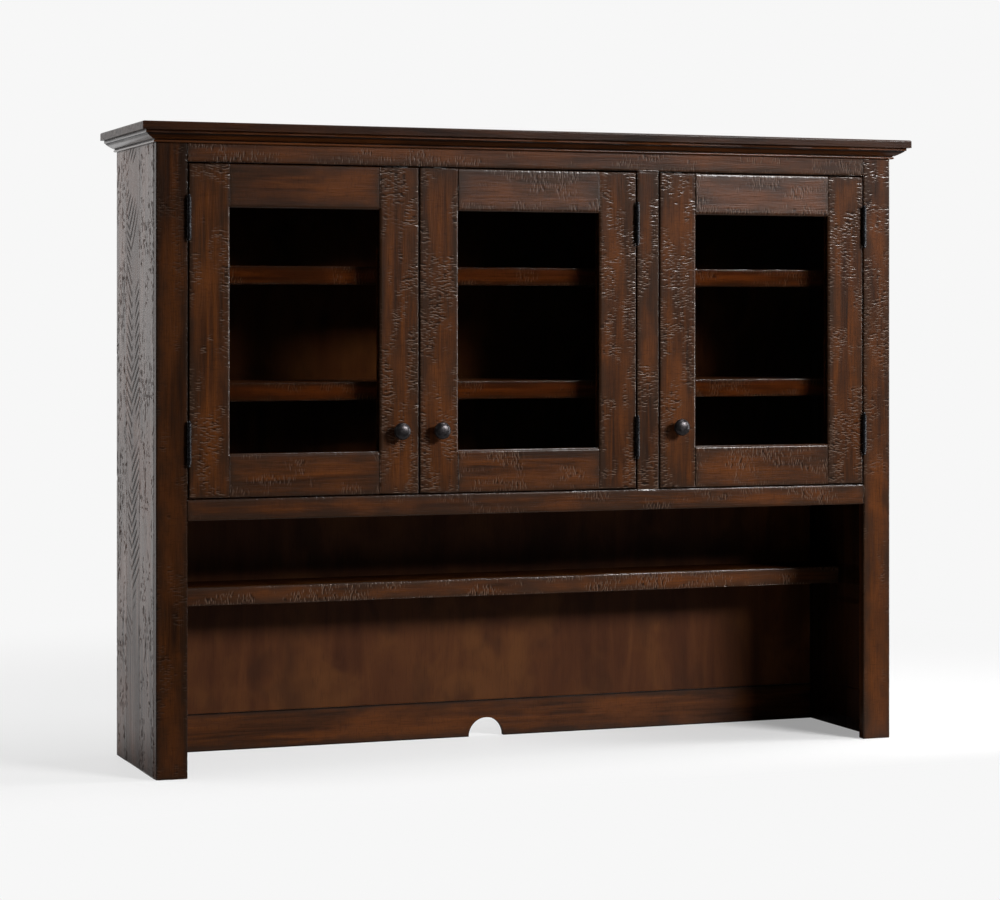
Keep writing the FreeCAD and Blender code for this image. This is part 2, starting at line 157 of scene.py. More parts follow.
def noiseField(tree, place, grain, across, along, detail, roughness, distortion=0.0):
    scale = [across, across, across]
    scale[axisNumber[grain]] = along
    mapping = addNode(tree, "ShaderNodeMapping", {"Vector": place, "Scale": scale})
    made = addNode(tree, "ShaderNodeTexNoise", {
        "Vector": mapping.outputs[0], "Scale": 1.0, "Detail": detail, "Roughness": roughness,
        "Distortion": distortion})
    return made.outputs[0]


def addBump(tree, shader, height, strength, distance):
    bump = addNode(tree, "ShaderNodeBump",
                   {"Height": height, "Strength": strength, "Distance": distance})
    tree.links.new(bump.outputs[0], shader.inputs["Normal"])


woodLook = {
    "deep": (0.012, 0.0040, 0.0015),
    "brown": (0.041, 0.0123, 0.0031),
    "amber": (0.093, 0.0270, 0.0058),
    "burnish": (0.020, 0.0100, 0.0055),
    "paintedHighlight": (0.110, 0.069, 0.048),      # painted highlight: the side of a saw stroke that faces the light, made lighter
    # dark glaze, also used as painted shade: on the side of a stroke away from the light, on dulled
    # sides and in the moulding's grooves
    "glazeAndShade": (0.004, 0.0020, 0.0012),
    "stops": (0.30, 0.5, 0.72),         # deep, brown and amber along the streaks
    # noises: fineness across and along the grain, detail, roughness, distortion
    "streaks": (70, 3.2, 5, 0.62, 0.6),
    "clouds": (11, 4.5, 3, 0.55, 0.4),
    "fibres": (620, 26, 2, 0.6),
    "hatch": (70, 420, 2, 0.6, 0.3),    # faint strokes across the grain
    "patches": (26, 13, 3, 0.6),
    # fades: the noise from and to, and the values there
    "amberClouds": (0.42, 0.66, 0.0),
    "amberShare": 0.75,
    "pores": (0.5, 0.72, 0.0, 0.35),
    "hatchDepth": (0.52, 0.7, 0.0, 0.3),
    "patchDepth": (0.3, 0.7, -0.25, 0.3),
    "patchPlace": (0.05, 0.4),          # patches only where the edge is burnished
    "roughness": (0.3, 0.7, 0.46, 0.34),
    "burnishShare": 0.85,
    "cutAndShadeShare": 0.7,
    "paintedHighlightShare": 0.75,
    "specular": 0.05,
    "lacquer": 0.16,        # on a flat face; it lies thicker in the strokes and on the arrises
    "strokeLacquer": 0.15,
    "arrisLacquer": 0.55,
    "lacquerRoughness": 0.17,
    "fibreHeight": -0.5,
    "streakHeight": 0.6,
    "bump": (1.0, 0.0009),
}


def stainedWood(name, grain, shift=(0, 0, 0), tone=1.0, amber=1.0, shine=1.0, glint=1.0):
    look = woodLook
    material, tree, shader = newMaterial(name)
    place = objectPlace(tree, shift)
    edge, cutAndShade, lit, arris, pitAndShade = (
        addNode(tree, "ShaderNodeAttribute", attribute_name=layer).outputs["Fac"]
        for layer in ("edge", "cutAndShade", "lit", "arris", "pitAndShade"))
    streaks, clouds, fibres, hatch, patches = (
        noiseField(tree, place, grain, *look[layer])
        for layer in ("streaks", "clouds", "fibres", "hatch", "patches"))

    base = ramp(tree, streaks, zip(look["stops"], (look["deep"], look["brown"], look["amber"])))
    warm = fade(tree, clouds, *look["amberClouds"], look["amberShare"] * amber)
    base = blend(tree, warm, base, look["amber"])
    base = blend(tree, fade(tree, fibres, *look["pores"]), base, look["deep"])
    base = blend(tree, fade(tree, hatch, *look["hatchDepth"]), base, look["deep"])
    patchy = calculate(tree, "MULTIPLY", fade(tree, patches, *look["patchDepth"]),
                       fade(tree, edge, *look["patchPlace"]))
    darkened = calculate(tree, "ADD", edge, patchy, clamp=True)
    # burnished edges, then glaze with painted shade in the strokes, then a painted highlight on
    # their lit side
    for layer, share, colour in ((darkened, look["burnishShare"], look["burnish"]),
                                 (cutAndShade, look["cutAndShadeShare"], look["glazeAndShade"]),
                                 (lit, look["paintedHighlightShare"] * min(glint, 1), look["paintedHighlight"])):
        base = blend(tree, calculate(tree, "MULTIPLY", layer, share), base, colour)
    # carved pits, and the painted shade on dulled sides and in the moulding's grooves
    base = blend(tree, pitAndShade, base, look["glazeAndShade"])
    tint = tone if isinstance(tone, tuple) else (tone, tone, tone)
    base = blend(tree, 1.0, base, tint, "MULTIPLY")

    coat = calculate(tree, "MULTIPLY_ADD", lit, look["strokeLacquer"] * glint,
                     look["lacquer"] * shine)
    coat = calculate(tree, "MULTIPLY_ADD", arris, look["arrisLacquer"] * glint, coat)
    setInputs(tree, shader, {
        "Base Color": base,
        "Roughness": fade(tree, streaks, *look["roughness"]),
        "Specular IOR Level": look["specular"] * shine,
        "Coat Weight": calculate(tree, "SUBTRACT", coat, pitAndShade, clamp=True),
        "Coat Roughness": look["lacquerRoughness"],
    })
    height = calculate(tree, "ADD", calculate(tree, "MULTIPLY", fibres, look["fibreHeight"]),
                       calculate(tree, "MULTIPLY", streaks, look["streakHeight"]))
    addBump(tree, shader, height, *look["bump"])
    return material


veneerLook = {
    "stops": ((0.3, (0.044, 0.0132, 0.0044)), (0.52, (0.064, 0.0200, 0.0062)),
              (0.75, (0.086, 0.0285, 0.0085))),
    "cloud": (0.104, 0.0370, 0.0100),
    "spot": (0.032, 0.0110, 0.0042),
    "streaks": (24, 2.6, 5, 0.6, 0.8),
    "clouds": (9, 7, 3, 0.55, 0.6),
    "spots": (15, 9, 2, 0.5, 0.4),
    "fibres": (500, 26, 2, 0.6),
    "cloudDepth": (0.42, 0.68, 0.0, 0.7),
    "spotDepth": (0.52, 0.72, 0.0, 0.6),
    "pores": (0.52, 0.72, 0.0, 0.3),
    "roughness": 0.42,
    "lacquerRoughness": 0.3,
    "bump": (0.2, 0.0003),
}


def veneeredBoard(name, tone, shift=(0, 0, 0), specular=0.06, lacquer=0.1):
    look = veneerLook
    material, tree, shader = newMaterial(name)
    place = objectPlace(tree, shift)
    streaks, clouds, spots, fibres = (noiseField(tree, place, "z", *look[layer])
                                      for layer in ("streaks", "clouds", "spots", "fibres"))
    base = ramp(tree, streaks, look["stops"])
    base = blend(tree, fade(tree, clouds, *look["cloudDepth"]), base, look["cloud"])
    base = blend(tree, fade(tree, spots, *look["spotDepth"]), base, look["spot"])
    base = blend(tree, fade(tree, fibres, *look["pores"]), base, woodLook["deep"])
    setInputs(tree, shader, {
        "Base Color": blend(tree, 1.0, base, (tone, tone, tone), "MULTIPLY"),
        "Roughness": look["roughness"],
        "Specular IOR Level": specular,
        "Coat Weight": lacquer,
        "Coat Roughness": look["lacquerRoughness"],
    })
    addBump(tree, shader, fibres, *look["bump"])
    return material


latticeHash = {
    "axes": (374761393, 668265263, 1440662683),
    "seed": 974711,
    "rounds": ((13, 1274126177), (11, 1103515245)),
    "mask": 0x7fffffff,
    "drop": 7,              # the lowest bits are the least random
    "largest": 0xffff,
    "perSeed": 31,          # patterns kept apart for each board
}


def smoothStep(values, low, high):
    t = np.clip((values - low) / (high - low), 0, 1)
    return t * t * (3 - 2 * t)


def latticeNoise(points, seed):
    code = latticeHash
    cell = np.floor(points).astype(np.int64)
    t = points - cell
    t = t * t * (3 - 2 * t)
    total = np.zeros(len(points))
    for corner in range(8):
        step = np.array([corner & 1, corner >> 1 & 1, corner >> 2 & 1])
        mixed = (cell + step) @ np.array(code["axes"]) + seed * code["seed"]
        for shift, factor in code["rounds"]:
            mixed = (mixed ^ (mixed >> shift)) * factor & code["mask"]
        share = np.where(step, t, 1 - t).prod(axis=1)
        total += share * ((mixed >> code["drop"]) & code["largest"]) / code["largest"]
    return total


# a pattern: two spacings, its number, and for some the noise where it starts and where it is full
def fieldOf(first, second, third, pattern, seed):
    firstCell, secondCell, number, *levels = pattern
    points = np.stack([first / firstCell, second / secondCell, third], axis=1)
    noise = latticeNoise(points, seed * latticeHash["perSeed"] + number)
    return smoothStep(noise, *levels) if levels else noise


meshRules = {
    "weld": 2e-6,           # metres
    "spinWeld": 1e-6,
    "onPlane": 1e-7,
    "onLevel": 1e-5,
    "flat": 0.5,            # degrees between faces that are one face
    "boardSharp": 50,
    "mouldingSharp": 45,
    "turnedSharp": 40,
    "jointAngle": 1.2,      # radians, and sharper edges are eased
    "faceOn": 0.97,         # how squarely a face looks out to be sliced across
    "straight": 0.99,       # how straight along the grain an edge runs to be divided
    "sameLevel": 0.3,       # shares of a slice
    "besideLevel": 0.6,
}


def cutPlane(mesh, faces, axis, place):
    edges = list(dict.fromkeys(e for f in faces for e in f.edges))
    verts = list(dict.fromkeys(v for f in faces for v in f.verts))
    point, normal = Vector(), Vector()
    point[axis], normal[axis] = place, 1
    bmesh.ops.bisect_plane(mesh, geom=verts + edges + faces, dist=meshRules["onPlane"],
                           plane_co=point, plane_no=normal)


def boardAxes(grain, outward):
    along = axisNumber[grain]
    facing = max(range(3), key=lambda i: abs(outward[i]))
    return along, facing, 3 - along - facing


def sliceBoard(mesh, grain, outward, low, high, work):
    rules = meshRules
    along, facing, across = boardAxes(grain, outward)
    soft = work["softWidth"] * millimetre
    step = work["sliceAlong"] * millimetre
    width = high[across] - low[across]
    count = max(2, round(width / (work["sliceAcross"] * millimetre)))
    for i in range(1, count):
        shown = [f for f in mesh.faces if f.normal[facing] * outward[facing] > rules["faceOn"]]
        place = low[across] + width * i / count
        if i == 1:
            place = low[across] + soft
        elif i == count - 1:
            place = high[across] - soft
        cutPlane(mesh, shown, across, place)
    levels = []
    for place in sorted(v.co[along] for v in mesh.verts):       # where the board's shape changes
        if not levels or place - levels[-1] > rules["sameLevel"] * step:
            levels.append(place)
    for place in levels[1:-1]:
        cutPlane(mesh, list(mesh.faces), along, place)
    for place in levels:                        # slices close to a level keep the rest four-sided
        for beside in (place - step, place + step):
            if all(abs(beside - other) > rules["besideLevel"] * step for other in levels):
                cutPlane(mesh, list(mesh.faces), along, beside)
    longEdges = {}
    for edge in mesh.edges:
        span = edge.verts[1].co - edge.verts[0].co
        cuts = round(abs(span[along]) / step) - 1
        if cuts > 0 and abs(span[along]) > rules["straight"] * span.length:
            longEdges.setdefault(cuts, []).append(edge)
    for cuts, edges in longEdges.items():
        bmesh.ops.subdivide_edges(mesh, edges=edges, cuts=cuts, use_grid_fill=False)


def easeJoints(mesh, facing, level, width):
    sharp = [e for e in mesh.edges
             if all(abs(v.co[facing] - level) < meshRules["onLevel"] for v in e.verts)
             and len(e.link_faces) == 2 and e.calc_face_angle() > meshRules["jointAngle"]]
    bmesh.ops.bevel(mesh, geom=sharp, offset=width * millimetre, offset_type="OFFSET", segments=1,
                    profile=0.5, affect="EDGES", material=-1, clamp_overlap=True)


def slicedBoard(node, grain, outward, tenons, work):
    mesh = bmesh.new()
    mesh.from_mesh(nodes[node].data)
    bmesh.ops.remove_doubles(mesh, verts=mesh.verts, dist=meshRules["weld"])
    bmesh.ops.dissolve_limit(mesh, angle_limit=math.radians(meshRules["flat"]), verts=mesh.verts,
                             edges=mesh.edges)
    low, high = (Vector(corner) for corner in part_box(node))
    for axis, length in tenons.items():
        low[axisNumber[axis]] += length * millimetre
        high[axisNumber[axis]] -= length * millimetre
    facing = boardAxes(grain, outward)[1]
    easeJoints(mesh, facing, (high if outward[facing] > 0 else low)[facing], work["jointEase"])
    sliceBoard(mesh, grain, outward, low, high, work)
    mesh.normal_update()
    data = bpy.data.meshes.new(f"{node}.board")
    mesh.to_mesh(data)
    mesh.free()
    return data, np.array(low) / millimetre, np.array(high) / millimetre


def readVectors(items, key):
    values = np.zeros(len(items) * 3)
    items.foreach_get(key, values)
    return values.reshape(-1, 3)


def addLayers(data, layers):
    for name, values in layers.items():
        layer = data.attributes.new(name, "FLOAT", "POINT")
        layer.data.foreach_set("value", values.astype(np.float32))


def addObject(name, data):
    data.polygons.foreach_set("use_smooth", [True] * len(data.polygons))
    data.update()
    piece = bpy.data.objects.new(name, data)
    scene.collection.objects.link(piece)
    return piece


def placeWood(name, node, data, material):
    piece = addObject(name, data)
    data.materials.append(material)
    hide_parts(node)
    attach(piece, bodyOf[node])


boardWork = {
    "sliceAlong": 0.9,          # spacing of the mesh, in millimetres
    "sliceAcross": 2.8,
    "shown": (0.25, 0.8),       # how far a face looks out, from not worked to fully worked
    "strokeBend": 3.0,
    "strokeSlant": 0.2,
    "strokeSide": 0.7,          # from the middle of a stroke to its sides
    "strokeDepth": 0.28,
    "strokePlane": 0.37,        # each board takes its strokes from another layer of the noise
    "litGain": 1.3,
    "litOverCut": 1.5,
    "patchEdge": (0.15, 9.0),   # more strokes by the edges: how many more, and how far in
    "patchMarks": 0.13,
    "patchMix": (0.6, 0.4),
    "patchLevels": (0.54, 0.67),
    "waveDepth": 0.7,
    "waveMix": (0.7, 0.3),
    "waveFlat": 0.35,           # share of the waves away from the edges
    "nickDepth": 0.8,
    "nickWidth": 1.6,
    "nickMarks": 0.4,
    "pitDepth": 0.9,
    "endDepth": 0.05,           # the two ends stay nearly flat
    "endOn": 0.9,
    "softWidth": 2.2,           # the face leans away a little beside its long edges
    "softDepth": 0.42,
    "jointEase": 0.8,
    "arrisStart": (0.03, 0.2),  # an arris has turned away from the face, and not yet to the side
    "arrisStop": (-0.1, 0.2),
    "arrisGleam": (0.5, 2.2),
    "leftGleam": 0.0,           # for the narrow side at the left
    "leftOn": (0.6, 0.9),
    "shadedDullSides": 0.0,           # how far the narrow sides are painted dark as shade and made dull
    "shadedDullBack": 0.0,
    "shadedDullStrip": 2.0,           # the painted shade on the sides reaches round the arris
    "sideOn": 0.8,
    "backOn": -0.5,
    "edgeWidth": 15.0,          # how far in the burnish reaches, made uneven by the noise
    "edgeSpread": (0.3, 1.4),
    "edgeStart": 2,
    "burnishMix": (0.6, 0.4),
    "endWidth": 34.0,
    "endSpread": (0.2, 1.6),
    "endShare": 0.8,
    "plainBack": (-0.8, 0.0),   # no burnish on the back
    "noiseDepth": 40.0,
}
boardPatterns = {               # spacings along and across the grain, in millimetres
    "bend": (30, 16, 1),
    "strokes": (1.8, 5.2, 2, 0.53, 0.74),   # saw strokes run across the grain
    "largePatches": (62, 24, 3),
    "smallPatches": (22, 11, 4),
    "longWaves": (95, 60, 5),
    "shortWaves": (31, 26, 6),
    "nicks": (3.4, 30, 7, 0.5, 0.8),
    "nickZones": (70, 60, 8, 0.4, 0.62),
    "largeBurnish": (60, 40, 9),
    "smallBurnish": (18, 12, 10),
    "slant": (30, 20, 11),
    "gleams": (4.5, 30, 13, 0.5, 0.72),
    "gleamZones": (46, 60, 14, 0.42, 0.6),
}


def handWorked(node, grain, outward, seed, marks, tenons, material, carve=None, **changes):
    work = boardWork | changes
    data, low, high = slicedBoard(node, grain, outward, tenons, work)
    along, facing, across = boardAxes(grain, outward)
    points = readVectors(data.vertices, "co") / millimetre
    normals = readVectors(data.vertex_normals, "vector")
    inset = np.minimum(points - low, high - points)
    edgeDistance = np.sort(np.abs(inset), axis=1)[:, 1]
    length, width = points[:, along], points[:, across]
    tilt = normals[:, facing] * outward[facing]
    shown = smoothStep(tilt, *work["shown"])

    def field(name):
        return fieldOf(length, width, points[:, facing] / work["noiseDepth"], boardPatterns[name],
                       seed)

    def mixed(large, small, shares):
        return field(large) * shares[0] + field(small) * shares[1]

    if isinstance(marks, tuple):                # marks at the low and the high end
        share = np.clip((length - low[along]) / (high[along] - low[along]), 0, 1)
        marks = marks[0] + (marks[1] - marks[0]) * share
    middle = (low[across] + high[across]) / 2
    slant = work["strokeSlant"] * (field("slant") - 0.5) * (width - middle)
    bend = work["strokeBend"] * (field("bend") - 0.5) + slant

    def strokesAt(ahead):
        plane = np.full(len(points), seed * work["strokePlane"])
        return fieldOf(length + bend + ahead, width, plane, boardPatterns["strokes"], seed)

    more, reach = work["patchEdge"]
    patches = mixed("largePatches", "smallPatches", work["patchMix"])
    patches = patches + more * np.exp(-edgeDistance / reach) + work["patchMarks"] * (marks - 1)
    patches = smoothStep(patches, *work["patchLevels"])
    patches *= shown * np.minimum(marks, 1)
    cutAndShade = strokesAt(0) * patches
    towards = strokesAt(work["strokeSide"]) - strokesAt(-work["strokeSide"])
    lit = np.clip(work["litGain"] * towards, 0, 1) * patches    # the side that faces the light, painted lighter as a highlight
    waves = mixed("longWaves", "shortWaves", work["waveMix"])
    nicks = field("nicks") * field("nickZones")
    atEdge = np.exp(-edgeDistance / work["nickWidth"])
    toSide = np.abs(np.minimum(width - low[across], high[across] - width))
    soft = np.clip(1 - toSide / work["softWidth"], 0, 1) * shown

    depth = work["strokeDepth"] * cutAndShade + work["softDepth"] * soft
    flat = work["waveFlat"]
    depth += work["waveDepth"] * waves * (flat + (1 - flat) * atEdge)
    depth += work["nickDepth"] * nicks * atEdge * np.minimum(1.0, work["nickMarks"] + marks)
    pitAndShade = np.zeros(len(points))
    if carve:
        pitAndShade = carve(points, seed) * shown
        depth += work["pitDepth"] * pitAndShade
    depth[np.abs(normals[:, along]) > work["endOn"]] = work["endDepth"]

    base, gain = work["arrisGleam"]
    arris = smoothStep(1 - tilt, *work["arrisStart"]) * smoothStep(tilt, *work["arrisStop"])
    arris = np.maximum(arris, soft) * (base + gain * field("gleams") * field("gleamZones"))
    leftSide = smoothStep(-normals[:, across], *work["leftOn"])
    arris = np.maximum(arris, work["leftGleam"] * leftSide)
    # the narrow sides and the back are painted dark as shade, on top of the carved pits
    atSide = (tilt < work["sideOn"]) | (edgeDistance < work["shadedDullStrip"])
    shadedDull = np.where(atSide, work["shadedDullSides"], 0)
    shadedDull = np.where(tilt < work["backOn"], work["shadedDullBack"], shadedDull)
    pitAndShade = np.maximum(pitAndShade, shadedDull)
    points -= normals * depth[:, None]
    data.vertices.foreach_set("co", (points * millimetre).astype(np.float32).ravel())

    uneven = mixed("largeBurnish", "smallBurnish", work["burnishMix"])
    edgeReach, endReach = (size * (least + gain * uneven)
                           for size, (least, gain) in ((work["edgeWidth"], work["edgeSpread"]),
                                                       (work["endWidth"], work["endSpread"])))
    burnish = np.maximum(
        np.exp(-np.maximum(edgeDistance - work["edgeStart"], 0) / edgeReach),
        work["endShare"] * np.exp(-np.abs(inset[:, along]) / endReach))
    burnish *= smoothStep(tilt, *work["plainBack"])
    # what is left of the stroke once its lit side is taken out is painted dark, as glaze and as
    # painted shade
    cutAndShade = np.clip(cutAndShade - work["litOverCut"] * lit, 0, 1)
    addLayers(data, {"cutAndShade": cutAndShade, "lit": lit, "edge": burnish, "arris": arris, "pitAndShade": pitAndShade})
    # before data.update(), so that the strokes themselves make no sharp edges
    data.set_sharp_from_angle(angle=math.radians(meshRules["boardSharp"]))
    placeWood(f"{node}.board", node, data, material)


sideGrain = {
    "planks": (-17.0, 93.0),        # the two joints, from the front
    "jointFade": (3, 9),
    "featherMiddle": 48.0,
    "featherSlope": 0.8,
    "featherPitch": 21.0,
    "featherLevels": (0.25, 0.9),
    "featherBottom": 170.0,
    "bottomFade": 260,
    "featherTop": 950.0,            # above this the feather leans to one side
    "topFade": 150,
    "topLean": 42,
    "wander": 9,
    "featherDepth": (0.08, 0.9),
    "pitsBetween": 0.15,            # share of the pits on the middle plank
    "plane": 0.61,
}
sidePatterns = {                    # spacings from front to back and up, in millimetres
    "wander": (40, 120, 20),
    "feather": (30, 80, 21, 0.25, 0.55),
    "pits": (2.4, 6.2, 22, 0.73, 0.8),
    "pitZones": (16, 42, 23, 0.48, 0.62),
    "cracks": (2.2, 15, 24, 0.79, 0.86),
    "crackZones": (30, 90, 25, 0.5, 0.7),
}


def carveSide(points, seed):
    look = sideGrain
    depth, height = points[:, 1], points[:, 2]
    plane = np.full(len(points), seed * look["plane"])

    def field(name):
        return fieldOf(depth, height, plane, sidePatterns[name], seed)

    first, second = look["planks"]
    near, far = look["jointFade"]
    top = smoothStep(height, look["featherTop"], look["featherTop"] + look["topFade"])
    middle = look["featherMiddle"] + look["topLean"] * top
    rise = height - look["featherSlope"] * np.abs(depth - middle) + look["wander"] * field("wander")
    feather = smoothStep(np.cos(2 * math.pi * (rise / look["featherPitch"])),
                         *look["featherLevels"]) * field("feather")
    feather *= smoothStep(height, look["featherBottom"],
                          look["featherBottom"] + look["bottomFade"])
    between = smoothStep(depth, first + near, first + far)
    between *= 1 - smoothStep(depth, second - far, second - near)
    pits = np.maximum(field("pits") * field("pitZones"), field("cracks") * field("crackZones"))
    least, gain = look["featherDepth"]
    return np.maximum((least + gain * feather) * between,
                      pits * (1 - (1 - look["pitsBetween"]) * between))


toFront = (0, -1, 0)
faceTenon = {"x": 24.0}
postTenon = {"z": 24.0}
doorTenon = {"x": 40.0}
cabinetNosings = {              # their marks; behind the glass the finish is dull, and the wood is painted darker as shade
    "left_lower_shelf_nosing": 0.9,
    "left_upper_shelf_nosing": 0.9,
    "right_lower_shelf_nosing": 1.4,
    "right_upper_shelf_nosing": 1.3,
}
doorMarks = {                   # left stile, right stile, top rail, bottom rail
    "door_left": (1.5, 1.4, 0.1, 0.7),
    "door_middle": (1.6, 1.4, (0.6, 0.9), 0.8),
    "door_right": (1.4, 1.7, 1.7, 1.2),
}
workedBoards = [                # node, grain, marks, tenons
    ("left_face_stile", "z", 0.8, {}),
    ("right_face_stile", "z", (0.3, 1.35), {}),
    ("mullion", "z", 1.0, postTenon),
    ("top_face_rail", "x", (1.1, 1.4), faceTenon),
    ("bottom_face_rail", "x", (0.1, 1.0), faceTenon),
    *((node, "x", marks, {}) for node, marks in cabinetNosings.items()),
    ("open_shelf_nosing", "x", (0.9, 1.5), {}),
    ("back_rail", "x", 0.0, {}),
]
for door, (leftMarks, rightMarks, topMarks, bottomMarks) in doorMarks.items():
    workedBoards += [
        (f"{door}_left_stile", "z", leftMarks, {}),
        (f"{door}_right_stile", "z", rightMarks, {}),
        (f"{door}_top_rail", "x", topMarks, doorTenon),
        (f"{door}_bottom_rail", "x", bottomMarks, doorTenon),
    ]
boardFinish = {                 # how some boards differ from the rest
    "left_face_stile": {"tone": 0.66, "shine": 0.5, "glint": 0.5},
    "top_face_rail": {"shine": 1.2},
    "door_left_left_stile": {"shine": 0.7},
    "door_middle_top_rail": {"shine": 1.8},
    "door_right_top_rail": {"shine": 2.1},
    "open_shelf_nosing": {"tone": 1.25},
    "bottom_face_rail": {"glint": 1.2},
    "door_right_bottom_rail": {"glint": 1.5},
    "back_rail": {"glint": 0.0},
    # the nosings behind the glass are painted darker as shade
    **dict.fromkeys(cabinetNosings, {"shine": 0.05, "glint": 1.4, "tone": (0.68, 0.53, 0.4)}),
}
boardShape = {
    "left_face_stile": {"leftGleam": 1.2, "strokeDepth": 0.3},
    "open_shelf_nosing": {"waveDepth": 1.5},
    "back_rail": {"waveDepth": 0.2, "nickDepth": 0.2, "sliceAlong": 4.0, "edgeWidth": 8.0,
                  "shadedDullSides": 1.0, "softDepth": 0.0},
    **dict.fromkeys(cabinetNosings, {"edgeWidth": 5.0, "sliceAlong": 1.4}),
}
grainShift = (1.7, 0.9, 2.3)    # from one board to the next, so that no two have the same grain
sideBoards = {
    "outward": {"left_side_panel": (-1, 0, 0), "right_side_panel": (1, 0, 0)},
    "firstSeed": 51,
    "shine": 1.9,
    "shape": {"sliceAlong": 2.4, "sliceAcross": 2.0, "waveDepth": 0.3, "softDepth": 0.2,
              "shadedDullBack": 0.6},
}


def makeBoards():
    for seed, (node, grain, marks, tenons) in enumerate(workedBoards, 1):
        material = stainedWood(f"wood.{node}", grain, tuple(seed * part for part in grainShift),
                               **boardFinish.get(node, {}))
        handWorked(node, grain, toFront, seed, marks, tenons, material,
                   **boardShape.get(node, {}))
    look = sideBoards
    for seed, (node, outward) in enumerate(look["outward"].items(), look["firstSeed"]):
        material = stainedWood(f"wood.{node}", "z", (seed, 2, 1), shine=look["shine"])
        handWorked(node, "z", outward, seed, 0.0, {}, material, carveSide, **look["shape"])
    print("hand-worked boards:", len(workedBoards) + len(look["outward"]))


crownLook = {
    "case": (-762, 762, -149, 181),     # left, right, front and back of the case
    "level": 1176.5,
    "profile": [(0, 0), (3.4, 0), (5.1, 0.5), (6.0, 1.6), (6.0, 2.9), (5.2, 4.0), (3.8, 4.5),
                (3.8, 6.0), (6.8, 6.3), (11.5, 8.6), (16.5, 11.5), (21.6, 14.8), (21.6, 16.2),
                (24.0, 16.4), (24.5, 16.9), (24.5, 22), (0, 22)],
    "grooveShade": {6: 1, 7: 1, 11: 1, 12: 1},       # corners of the two narrow grooves, painted dark as shade
    # on the sides the fillet under the top board is also painted darker, as the top's shadow
    "grooveAndFilletShade": {6: 1, 7: 1, 11: 1, 12: 1, 13: 0.5, 14: 0.5, 15: 0.6},
    "arrises": {3: 0.4, 4: 0.4, 13: 1, 14: 1},
    "station": 6.0,
    "wave": 0.5,
    "waveCell": (45, 45, 9),
    "sides": {"cornice_left": -1, "cornice_front": 0, "cornice_right": 1},
    "firstSeed": 71,
}


def makeMoulding(node, side, seed, material):
    look = crownLook
    left, right, front, back = look["case"]
    steps = round((back - front if side else right - left) / look["station"])
    profile = np.array(look["profile"], dtype=float)
    share = np.linspace(0, 1, steps + 1)[:, None]
    out, rise = (np.tile(column, (steps + 1, 1)) for column in profile.T)
    if side:
        x = (left if side < 0 else right) + side * out
        y = front - out + share * (back - front + out)
    else:
        x = left - out + share * (right - left + 2 * out)
        y = front - out
    points = np.stack([x, y, rise + look["level"]], axis=2)
    noise = latticeNoise((points / look["waveCell"]).reshape(-1, 3), seed).reshape(out.shape)
    dent = look["wave"] * noise * (out > 0) * (share > 0) * (share < 1)
    points[:, :, 0 if side else 1] += dent * (-side if side else 1)

    mesh = bmesh.new()
    rows = [[mesh.verts.new(Vector(point) * millimetre) for point in row] for row in points]
    count = len(profile)
    for row, after in zip(rows, rows[1:]):
        for i in range(count):
            j = (i + 1) % count
            mesh.faces.new((row[i], row[j], after[j], after[i]))
    mesh.faces.new(rows[0])
    mesh.faces.new(rows[-1])
    bmesh.ops.recalc_face_normals(mesh, faces=mesh.faces)
    data = bpy.data.meshes.new(f"{node}.moulding")
    mesh.to_mesh(data)
    mesh.free()
    corners = {"pitAndShade": look["grooveAndFilletShade" if side else "grooveShade"], "arris": look["arrises"]}
    addLayers(data, {name: np.tile([values.get(i, 0) for i in range(count)], steps + 1)
                     for name, values in corners.items()})
    data.set_sharp_from_angle(angle=math.radians(meshRules["mouldingSharp"]))
    placeWood(f"{node}.moulding", node, data, material)


def makeCrown(materials):
    look = crownLook
    for seed, (node, side) in enumerate(look["sides"].items(), look["firstSeed"]):
        makeMoulding(node, side, seed, materials["deep" if side else "moulding"])
    print("moulding under the top")


metalLook = {
    "bronze": {"name": "oiledBronze", "colour": (0.03, 0.027, 0.028), "roughness": 0.34},
    "black": {"name": "blackHinge", "colour": (0.022, 0.022, 0.024), "roughness": 0.24},
    "steel": {"name": "zincPlate", "colour": (0.32, 0.32, 0.33), "roughness": 0.3},
    "screw": {"name": "screwHead", "colour": (0.05, 0.048, 0.05), "roughness": 0.3},
}
metalSurface = {
    "mottle": (180, 180, 4, 0.6),
    "fine": (900, 900, 2, 0.5),
    "lighter": 1.7,
    "colourFade": (0.35, 0.7),
    "roughFade": (0.3, 0.7),
    "smoother": 0.06,
    "rougher": 0.08,
    "metallic": 0.85,
    "bump": (0.15, 0.0002),
}


def darkMetal(name, colour, roughness):
    look = metalSurface
    material, tree, shader = newMaterial(name)
    place = addNode(tree, "ShaderNodeTexCoord").outputs["Object"]
    mottle, fine = (noiseField(tree, place, "z", *look[layer]) for layer in ("mottle", "fine"))
    lighter = tuple(part * look["lighter"] for part in colour)
    setInputs(tree, shader, {
        "Base Color": blend(tree, fade(tree, mottle, *look["colourFade"]), colour, lighter),
        "Roughness": fade(tree, mottle, *look["roughFade"], roughness - look["smoother"],
                          roughness + look["rougher"]),
        "Metallic": look["metallic"],
    })
    addBump(tree, shader, fine, *look["bump"])
    return material


glassLook = {
    "Base Color": (0.92, 0.95, 0.94, 1),
    "Roughness": 0.02,
    "Transmission Weight": 1.0,
    "IOR": 1.45,
    "Alpha": 0.1,
}


def clearGlass():
    material, tree, shader = newMaterial("paneGlass")
    setInputs(tree, shader, glassLook)
    return material


def joinPieces(pieces, name):
    with bpy.context.temp_override(active_object=pieces[0], selected_editable_objects=pieces):
        bpy.ops.object.join()
    pieces[0].name = name
    return pieces[0]


